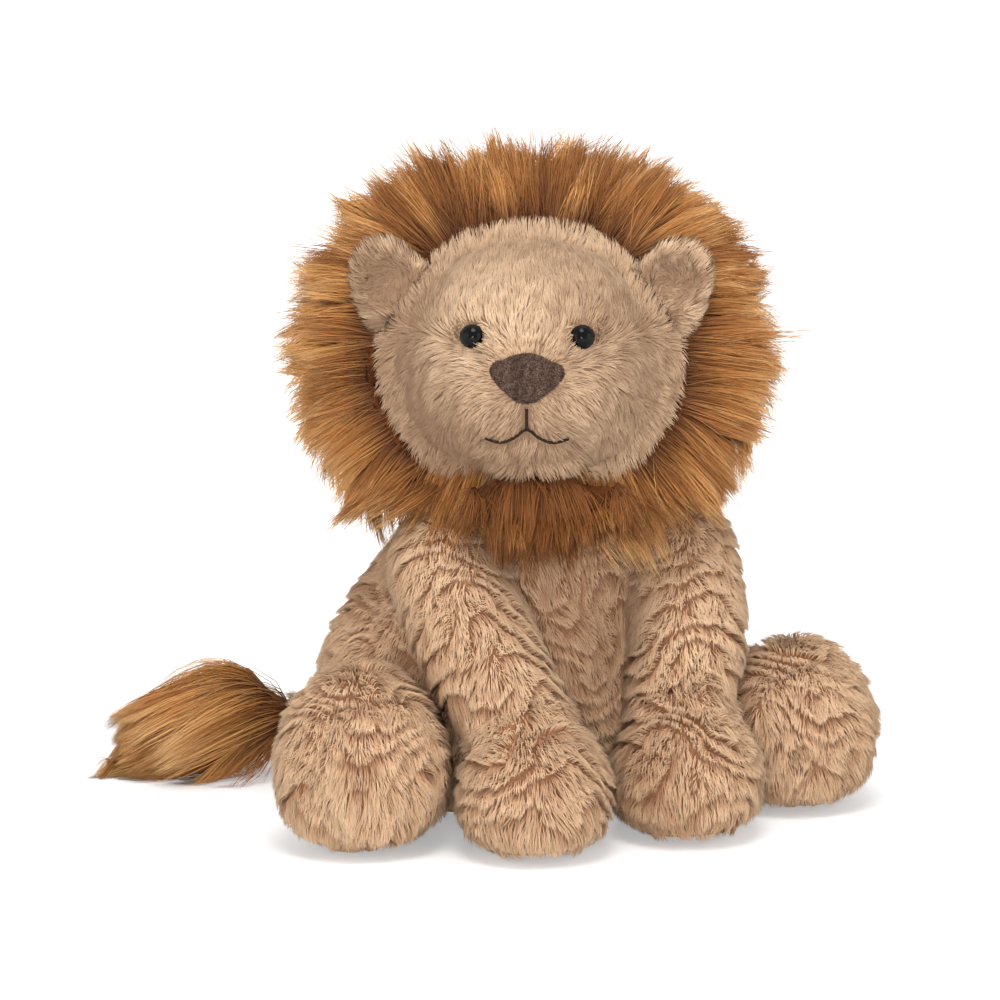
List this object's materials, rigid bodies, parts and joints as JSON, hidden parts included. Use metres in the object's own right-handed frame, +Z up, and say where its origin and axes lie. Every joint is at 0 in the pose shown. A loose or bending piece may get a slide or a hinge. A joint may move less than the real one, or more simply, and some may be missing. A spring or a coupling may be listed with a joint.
{
  "type": "plush lion",
  "caption": "Sitting plush lion with a long-pile mane round its face, a turning head, swinging forelegs, splaying hind legs and a tail that ends in a tuft.",
  "frame": {"origin": "middle of the flat seat panel, on the surface that the lion sits on", "axes": "+Z up, -Y the way the chest faces, +X towards the lion's own left"},
  "size_m": [0.2358, 0.1766, 0.2178],
  "materials": {
    "plush": "short tan pile, matte",
    "sole_plush": "short tan pile, brushed one way, matte",
    "mane_pile": "long ginger-brown pile, soft sheen",
    "nose_felt": "dark brown felt, matte",
    "mouth_thread": "dark brown stitched thread",
    "eye_gloss": "black, polished",
    "washer_plastic": "natural white, matte",
    "pouch_cotton": "undyed woven cotton"
  },
  "bodies": {
    "torso": {"torso": "plush", "bean_pouch": "pouch_cotton", "seat_panel": "plush"},
    "neck": {"neck": "plush"},
    "head": {"head": "plush", "eye_right": "eye_gloss", "eye_washer_right": "washer_plastic", "eye_left": "eye_gloss", "eye_washer_left": "washer_plastic", "nose": "nose_felt", "mouth_embroidery": "mouth_thread", "mane_ruff": "mane_pile", "mane_hood": "mane_pile", "mane_bib": "mane_pile"},
    "foreleg_right": {"foreleg_right": "plush", "forepaw_right": "plush", "forepaw_sole_right": "sole_plush"},
    "hindleg_right": {"hindleg_right": "plush", "hindfoot_right": "plush", "hindfoot_sole_right": "sole_plush"},
    "ear_right": {"ear_right": "plush"},
    "foreleg_left": {"foreleg_left": "plush", "forepaw_left": "plush", "forepaw_sole_left": "sole_plush"},
    "hindleg_left": {"hindleg_left": "plush", "hindfoot_left": "plush", "hindfoot_sole_left": "sole_plush"},
    "ear_left": {"ear_left": "plush"},
    "tail": {"tail_stalk": "plush", "tail_tuft": "mane_pile"}
  },
  "joints": [
    {"name": "neck_turn", "type": "hinge", "parent": "torso", "child": "neck", "pos_m": [-0.004, -0.008, 0.1095], "axis": [0, 0, 1], "range_deg": [-5, 25], "stiffness_Nm_per_rad": 1},
    {"name": "head_nod", "type": "hinge", "parent": "neck", "child": "head", "pos_m": [-0.004, -0.008, 0.1095], "axis": [0.9239, -0.3827, 0], "range_deg": [-6, 5], "stiffness_Nm_per_rad": 2},
    {"name": "ear_right_fold", "type": "hinge", "parent": "head", "child": "ear_right", "pos_m": [-0.04975, -0.02477, 0.1765], "axis": [0, 0, 1], "range_deg": [0, 25], "stiffness_Nm_per_rad": 0.01},
    {"name": "ear_left_fold", "type": "hinge", "parent": "head", "child": "ear_left", "pos_m": [0.01649, -0.05221, 0.1765], "axis": [0, 0, -1], "range_deg": [0, 25], "stiffness_Nm_per_rad": 0.01},
    {"name": "foreleg_right_swing", "type": "hinge", "parent": "torso", "child": "foreleg_right", "pos_m": [-0.043, -0.03, 0.0865], "axis": [-1, 0, 0], "range_deg": [0, 25], "stiffness_Nm_per_rad": 0.1},
    {"name": "foreleg_left_swing", "type": "hinge", "parent": "torso", "child": "foreleg_left", "pos_m": [0.0395, -0.03, 0.0865], "axis": [-1, 0, 0], "range_deg": [0, 25], "stiffness_Nm_per_rad": 0.1},
    {"name": "hindleg_right_splay", "type": "hinge", "parent": "torso", "child": "hindleg_right", "pos_m": [-0.078, -0.01, 0.029], "axis": [0, 0, -1], "range_deg": [0, 25], "stiffness_Nm_per_rad": 0.3},
    {"name": "hindleg_left_splay", "type": "hinge", "parent": "torso", "child": "hindleg_left", "pos_m": [0.078, -0.01, 0.029], "axis": [0, 0, 1], "range_deg": [0, 25], "stiffness_Nm_per_rad": 0.3},
    {"name": "tail_swing", "type": "hinge", "parent": "torso", "child": "tail", "pos_m": [-0.01, 0.046, 0.016], "axis": [0, 0, 1], "range_deg": [-60, 0], "stiffness_Nm_per_rad": 0.05}
  ]
}
